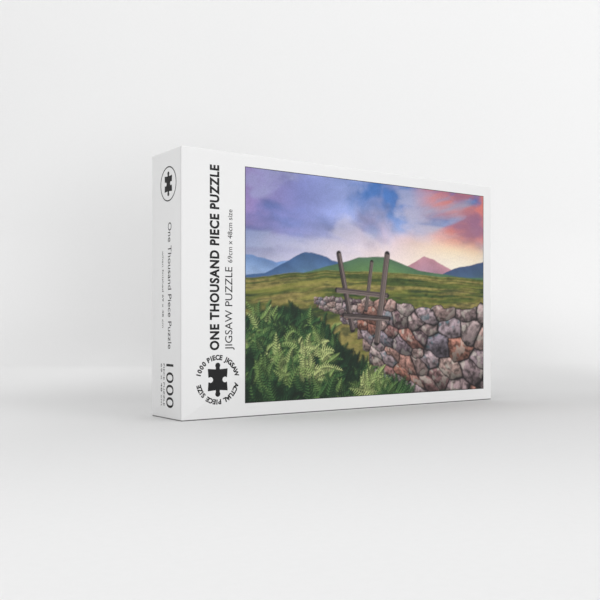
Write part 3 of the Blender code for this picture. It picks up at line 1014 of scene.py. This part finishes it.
END_TYPE = (
    ("1000", 13.2, 0.0, 35, 26, 44),
    ("PIECE PUZZLE", 2.6, 0.0, 34, 31.6, 44),
    ("69 x 48 cm", 2.4, 0.0, 34, 36, 44),
    ("One Thousand Piece Puzzle", 6.2, 0.0, 101, 23, 157),
    ("when finished 69 x 48 cm", 2.6, 0.0, 62, 33.4, 135),
)
DOWNWARDS = -math.pi / 2
for side, name in ((-1, "left_lettering"), (1, "right_lettering")):
    prints = set_lines(END_TYPE, lambda right, height: on_end(side, right, height, DOWNWARDS))
    bpy.ops.mesh.primitive_cylinder_add(
        vertices=64, radius=END_RING_OUT, depth=INK, location=(0, 0, INK / 2)
    )
    ring = bpy.context.object
    bpy.ops.object.transform_apply(location=True, rotation=True, scale=True)
    shape = enter_edit(ring)
    for face in shape.faces:
        face.select_set(abs(face.normal.z) > 0.9)
    bpy.ops.mesh.inset(thickness=END_RING_LINE)
    bpy.ops.mesh.bridge_edge_loops()
    leave_edit()
    mark = flat_piece((1, -1, 1, -1), INK)
    mark.data.transform(Matrix.Diagonal((END_PIECE_SCALE, END_PIECE_SCALE, 1, 1)))
    for shape in (ring, mark):
        shape.data.transform(on_end(side, *END_RING_PLACE))
        prints.append(shape)
    print_together(name, prints, "lid")


# The pieces: 1000 die-cut shapes of laminated board 1.9 mm thick, printed on the face and plain
# grey behind, loose in a bag. 46 of them lie against the front of the bag, each a piece of its
# own; the 954 behind are alike in shape and lie in ragged layers.

PIECE_THICKNESS = 1.9 * MM
LOOSE_COUNT = 46
HEAP_COUNT = 954
HEAP_ACROSS, HEAP_UP = 15, 5
HEAP_STEP = Vector((19.8 * MM, 2.28 * MM, 18.4 * MM))
HEAP_FRONT, HEAP_FOOT = -8.6 * MM, 21.5 * MM
HEAP_SCATTER_X, HEAP_SCATTER_Z = 1.2, 1.5
HEAP_ROUND_FROM = 14.5 * MM
RAGGED_TILT, LAYER_TILT = math.radians(9), math.radians(4)
PRESSED_EDGE = 0.25 * MM
INK_STEP = 1.6 * MM
INK_CUTS = 8
shuffle = random.Random(191)

# The face of a piece has the picture's ink under a linen emboss, which kills the glare. Its
# threads are about 0.6 mm apart each way, and are drawn at 1.2 mm.
piece_face, shader, spot = new_material("puzzle_face_linen_embossed")
colour = add_node(piece_face, "VertexColor", layer_name="ink")
threads = [
    add_node(
        piece_face, "TexWave",
        {"Vector": spot, "Scale": 260.0, "Distortion": 0.6},
        bands_direction=way,
    )
    for way in ("X", "Z")
]
linen = add_node(
    piece_face, "Math",
    {0: threads[0].outputs["Fac"], 1: threads[1].outputs["Fac"]},
    operation="MULTIPLY",
)
linen_relief = add_node(
    piece_face, "Bump", {"Height": linen, "Strength": 0.3, "Distance": 0.08 * MM}
)
feed(shader, {"Base Color": colour, "Normal": linen_relief, "Roughness": 0.45})

# The back and the cut edges show the board: a blue-grey recycled pulp, fuzzy where the die's
# rule went through. Its fibres are drawn 0.7 mm long.
piece_core, shader, spot = new_material("puzzle_board_die_cut")
pulp = add_node(piece_core, "TexNoise", {"Vector": spot, "Scale": 1400.0, "Detail": 3.0})
fuzz = add_node(piece_core, "Bump", {"Height": pulp, "Strength": 0.3, "Distance": 0.1 * MM})
greys = add_node(
    piece_core, "Mix", {0: pulp, 6: rgba("#8A8F95"), 7: rgba("#B7BBBE")}, data_type="RGBA"
)
feed(shader, {"Base Color": greys, "Normal": fuzz, "Roughness": 0.9})


def random_inks(flat_x, flat_y):
    """The picture's colours at places about the middle of one piece of it, drawn at random."""
    column, row = shuffle.randrange(PUZZLE_COLUMNS), shuffle.randrange(PUZZLE_ROWS)
    share_x = ((column + 0.5) * PIECE_WIDTH + flat_x) / (PUZZLE_COLUMNS * PIECE_WIDTH)
    share_y = ((row + 0.5) * PIECE_HEIGHT + flat_y) / (PUZZLE_ROWS * PIECE_HEIGHT)
    columns = np.clip(share_x * PRINT_COLUMNS, 0, PRINT_COLUMNS - 1).astype(int)
    rows = np.clip(share_y * PRINT_ROWS, 0, PRINT_ROWS - 1).astype(int)
    return printed[rows, columns]


for number in range(1, LOOSE_COUNT + 1):
    node = f"puzzle_piece_{number:02d}"
    mesh = bpy.data.objects[node].data.copy()
    piece = bpy.data.objects.new(f"cut_piece_{number:02d}", mesh)
    bpy.context.scene.collection.objects.link(piece)
    enter_edit(piece)
    bpy.ops.mesh.select_all(action="SELECT")
    bpy.ops.mesh.remove_doubles(threshold=0.005 * MM)
    bpy.ops.mesh.dissolve_limited(angle_limit=math.radians(2))
    shape = bmesh.from_edit_mesh(piece.data)
    broad = max(shape.faces, key=lambda face: (round(face.calc_area(), 8), -face.normal.y))
    facing = broad.normal.copy()
    if (facing.y > 0) != (shuffle.random() < 0.3):
        facing.negate()
    middle = sum((vert.co for vert in shape.verts), Vector()) / len(shape.verts)
    flat_x = facing.orthogonal().normalized()
    flat_y = facing.cross(flat_x)
    # The die presses the printed edge down a little all the way round.
    bpy.ops.mesh.select_mode(type="EDGE")
    bpy.ops.mesh.select_all(action="DESELECT")
    for edge in shape.edges:
        facings = sorted(face.normal.dot(facing) for face in edge.link_faces)
        edge.select_set(facings[-1] > 0.9 and facings[0] < 0.5)
    bpy.ops.mesh.bevel(offset=PRESSED_EDGE, segments=2, affect="EDGES")
    # Straight cuts across it, one for each step of ink, so that its face can hold the picture.
    for way in (flat_x, flat_y):
        for step in range(-INK_CUTS, INK_CUTS + 1):
            bpy.ops.mesh.select_all(action="SELECT")
            bpy.ops.mesh.bisect(plane_co=middle + way * step * INK_STEP, plane_no=way)
    leave_edit()
    mesh.materials.clear()
    mesh.materials.append(piece_core)
    mesh.materials.append(piece_face)
    for face in mesh.polygons:
        face.material_index = int(Vector(face.normal).dot(facing) > 0.6)
    spots = np.array([vert.co - middle for vert in mesh.vertices])
    keep_inks(mesh, random_inks(spots @ np.array(flat_x), spots @ np.array(flat_y)))
    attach(piece, "bag")
    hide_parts(node)

patterns = []
for knobs in ((1, -1, 1, -1), (1, 1, -1, -1), (1, -1, -1, 1), (-1, 1, 1, 1), (-1, -1, 1, -1)):
    pattern = flat_piece(knobs, PIECE_THICKNESS, 4)
    pattern.data.transform(Matrix.Translation((0, 0, -PIECE_THICKNESS / 2)))
    pattern.data.materials.clear()
    pattern.data.materials.append(piece_core)
    pattern.data.materials.append(piece_face)
    for face in pattern.data.polygons:
        face.material_index = int(face.normal.z > 0.9)
    patterns.append(pattern)

layer_size = HEAP_ACROSS * HEAP_UP
for part in range(2):
    heap_mesh, heap_inks = bmesh.new(), []
    for number in range(part * HEAP_COUNT // 2, (part + 1) * HEAP_COUNT // 2):
        layer, place_in = divmod(number, layer_size)
        column, row = place_in % HEAP_ACROSS, place_in // HEAP_ACROSS
        ragged = row == HEAP_UP - 1 or layer == 0
        tilt = RAGGED_TILT if ragged else LAYER_TILT
        x = (column - (HEAP_ACROSS - 1) / 2) * HEAP_STEP.x
        x += shuffle.uniform(-HEAP_SCATTER_X, HEAP_SCATTER_X) * MM
        y = HEAP_FRONT + layer * HEAP_STEP.y + (column + row) % 2 * HEAP_STEP.y / 2
        z = HEAP_FOOT + row * HEAP_STEP.z
        z += shuffle.uniform(-HEAP_SCATTER_Z, HEAP_SCATTER_Z) * MM
        # The bag's lower corner is round, so the last layers stand a little higher.
        z += max(0.0, y - HEAP_ROUND_FROM) * (1 - row / (HEAP_UP - 1))
        turn = shuffle.uniform(0, math.tau) if ragged else (
            math.pi / 2 * shuffle.randrange(4) + shuffle.uniform(-0.25, 0.25)
        )
        copy = shuffle.choice(patterns).data.copy()
        spots = np.array([vert.co for vert in copy.vertices])
        heap_inks.append(random_inks(spots[:, 0], spots[:, 1]))
        copy.transform(
            Matrix.Translation((x, y, z))
            @ Matrix.Rotation(shuffle.uniform(-tilt, tilt), 4, "X")
            @ Matrix.Rotation(shuffle.uniform(-tilt, tilt), 4, "Z")
            @ Matrix.Rotation(turn, 4, "Y")
            @ Matrix.Rotation(math.pi / 2 * shuffle.choice((1, -1)), 4, "X")
        )
        heap_mesh.from_mesh(copy)
        bpy.data.meshes.remove(copy)
    mesh = bpy.data.meshes.new("heap")
    heap_mesh.to_mesh(mesh)
    heap_mesh.free()
    mesh.materials.append(piece_core)
    mesh.materials.append(piece_face)
    keep_inks(mesh, np.vstack(heap_inks))
    heap = bpy.data.objects.new(f"heap_of_pieces_{part + 1}", mesh)
    bpy.context.scene.collection.objects.link(heap)
    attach(heap, "bag")
    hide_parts("loose_pieces")
for pattern in patterns:
    bpy.data.objects.remove(pattern, do_unlink=True)


# The bag: clear polypropylene film, 0.05 mm thick, formed into a tube round the pieces and
# sealed across its top with ribbed jaws. The slack film creases where it is gathered to the seal
# and lies over the pieces. Two punched holes let the air out.

BAG_LEVELS = (6.4, 10, 17, 105, 117, 129, 138, 150)
BAG_HALF_WIDTHS = (150, 154, 156, 156, 154, 152, 151, 151)
BAG_HALF_DEPTHS = (16, 20.8, 22.6, 22.6, 16.0, 6.0, 0.6, 0.6)
BAG_ROUND = 8 * MM
BAG_CUTS = (70, 9, 33)
SEAL_LEVEL, SEAL_EDGE = 138 * MM, 1 * MM
CREASE_LOW, CREASE_HIGH = 1.3 * MM, 7 * MM
FREEDOM_LEVELS = (6, 100, 122, 134, 139)
FREEDOM = (0.25, 0.3, 1, 0.6, 0)
HELD_FREEDOM = 0.3
SIDE_ROOM = 0.3 * MM
UNEVEN, UNEVEN_PER_METRE = 0.8 * MM, 45
SLACK = 0.05
SIM_FRAMES = 20
VENT_ACROSS, VENT_UP, VENT_RADIUS = 70 * MM, 123 * MM, 3 * MM
bag_low, bag_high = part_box("clear_bag")

# Cast polypropylene is clear and glossy, and shows mostly by its glints. Its white colour is
# painted
# in as reflection and glints: it grows less clear where the film turns edge-on to the eye and along
# thin crease lines, which also lets its real gloss show there. Across the seal its two layers are
# crimped together, with a rib every 3 mm, and look a little milky.
film, shader, spot = new_material("polypropylene_film_cast")
level = add_node(film, "SeparateXYZ", {"Vector": spot}).outputs["Z"]
in_seal = add_node(
    film, "MapRange",
    {"Value": level, "From Min": SEAL_LEVEL - SEAL_EDGE, "From Max": SEAL_LEVEL + SEAL_EDGE},
)
ribs = add_node(film, "TexWave", {"Vector": spot, "Scale": 105.0}, bands_direction="Z")
ribs_in_seal = add_node(film, "Math", {0: ribs.outputs["Fac"], 1: in_seal}, operation="MULTIPLY")
along_film = add_node(film, "Mapping", {"Vector": spot, "Scale": (1.0, 1.0, 0.6)})
crinkle = add_node(
    film, "TexNoise", {"Vector": along_film, "Scale": 40.0, "Detail": 2.5, "Distortion": 1.3}
)
off_level = add_node(film, "Math", {0: crinkle, 1: 0.5}, operation="SUBTRACT")
facets = add_node(film, "Math", {0: off_level}, operation="ABSOLUTE")
# Painted glints: along thin lines where the crinkle crosses its middle, the film is made less
# clear, so its white shows.
crease_glint_lines = add_node(
    film, "MapRange", {"Value": facets, "From Max": 0.022, "To Min": 1.0, "To Max": 0.0}
)
heights = add_node(film, "Math", {0: facets, 1: 5.0, 2: ribs_in_seal}, operation="MULTIPLY_ADD")
film_relief = add_node(film, "Bump", {"Height": heights, "Strength": 0.5, "Distance": 0.5 * MM})
# Painted reflection: the film grows less clear, and so whiter, where it turns edge-on to the eye.
rim = add_node(film, "LayerWeight", {"Blend": 0.2, "Normal": film_relief})
rim_reflection_alpha = add_node(film, "MapRange", {"Value": rim, "To Min": 0.03, "To Max": 0.65})
glint_alpha = add_node(
    film, "Math", {0: crease_glint_lines, 1: 0.2, 2: rim_reflection_alpha}, operation="MULTIPLY_ADD"
)
milky_and_glint_alpha = add_node(
    film, "Math",
    {0: in_seal, 1: 0.14, 2: glint_alpha},
    operation="MULTIPLY_ADD",
    use_clamp=True,
)
feed(
    shader,
    {
        "Normal": film_relief,
        "Alpha": milky_and_glint_alpha,
        "Base Color": rgba("#F2F5F8"),
        "Roughness": 0.12,
        "IOR": 1.49,
    },
)

bpy.ops.mesh.primitive_cube_add(size=2)
bag = bpy.context.object
bag.name = "film_bag"
for axis, cuts in enumerate(BAG_CUTS):
    shape = enter_edit(bag)
    bpy.ops.mesh.select_mode(type="EDGE")
    for edge in shape.edges:
        start, end = (vert.co for vert in edge.verts)
        edge.select_set(abs(start[axis] - end[axis]) > 1)
    bpy.ops.mesh.subdivide(number_cuts=cuts)
    leave_edit()
for vert in bag.data.vertices:
    x, y, z = vert.co
    z = bag_low.z + (z + 1) / 2 * (bag_high.z - bag_low.z)
    half_width = np.interp(z / MM, BAG_LEVELS, BAG_HALF_WIDTHS) * MM - SIDE_ROOM
    half_depth = np.interp(z / MM, BAG_LEVELS, BAG_HALF_DEPTHS) * MM
    x *= half_width
    rounding = min(BAG_ROUND, half_depth)
    past = max(0.0, abs(x) - (half_width - rounding)) / rounding
    half_depth -= rounding * (1 - math.sqrt(max(0.0, 1 - past * past)))
    vert.co = (x, y * half_depth, z)
# The film starts a shade uneven, because a perfectly flat one would only be squeezed.
flat_film = [vert.co.copy() for vert in bag.data.vertices]
for vert in bag.data.vertices:
    if vert.co.z < SEAL_LEVEL:
        vert.co += vert.normal * (noise.noise(vert.co * UNEVEN_PER_METRE) * UNEVEN)
held = bag.vertex_groups.new(name="held_by_the_seal")
held.add([v.index for v in bag.data.vertices if v.co.z >= SEAL_LEVEL - SEAL_EDGE], 1.0, "REPLACE")
# The film is cut a little longer than the bag, so that it buckles into creases as it hangs
# from its seal.
cloth = bag.modifiers.new("cloth", "CLOTH")
cloth.settings.quality = 6
cloth.settings.mass = 0.02
cloth.settings.tension_stiffness = 12
cloth.settings.compression_stiffness = 12
cloth.settings.shear_stiffness = 6
cloth.settings.bending_stiffness = 0.02
cloth.settings.shrink_min = -SLACK
cloth.settings.vertex_group_mass = held.name
cloth.settings.effector_weights.gravity = 0.3
cloth.collision_settings.use_collision = False
for step in range(1, SIM_FRAMES + 1):
    bpy.context.scene.frame_set(step)
apply_modifier(bag, cloth)
bpy.context.scene.frame_set(1)
for vert, start in zip(bag.data.vertices, flat_film):
    # It moves freely above the pieces. Lower down the pieces hold it, and the box is close.
    freedom = np.interp(start.z / MM, FREEDOM_LEVELS, FREEDOM)
    slack = max(0, freedom - HELD_FREEDOM) / (1 - HELD_FREEDOM)
    room = CREASE_LOW + (CREASE_HIGH - CREASE_LOW) * slack
    moved = vert.co - start
    moved *= room / (room + moved.length)
    vert.co = start + moved
    for axis in range(3):
        vert.co[axis] = min(max(vert.co[axis], bag_low[axis]), bag_high[axis])
bag.vertex_groups.clear()
for side in (-1, 1):
    spots = [vert for vert in bag.data.vertices if vert.normal.y < -0.2]
    centre = min(
        spots, key=lambda v: math.hypot(v.co.x - side * VENT_ACROSS, v.co.z - VENT_UP)
    ).index
    shape = enter_edit(bag)
    shape.verts.ensure_lookup_table()
    vent = shape.verts[centre]
    middle = vent.co.copy()
    around = {v for face in vent.link_faces for v in face.verts if v is not vent}
    for vert in around:
        out = vert.co - middle
        vert.co = middle + out * (VENT_RADIUS / out.length)
    bpy.ops.mesh.select_mode(type="VERT")
    vent.select_set(True)
    bpy.ops.mesh.delete(type="VERT")
    leave_edit()
finer = bag.modifiers.new("finer", "SUBSURF")
finer.levels = finer.render_levels = 1
apply_modifier(bag, finer)
bag.data.shade_smooth()
bag.data.materials.append(film)
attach(bag, "bag")
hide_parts("clear_bag")
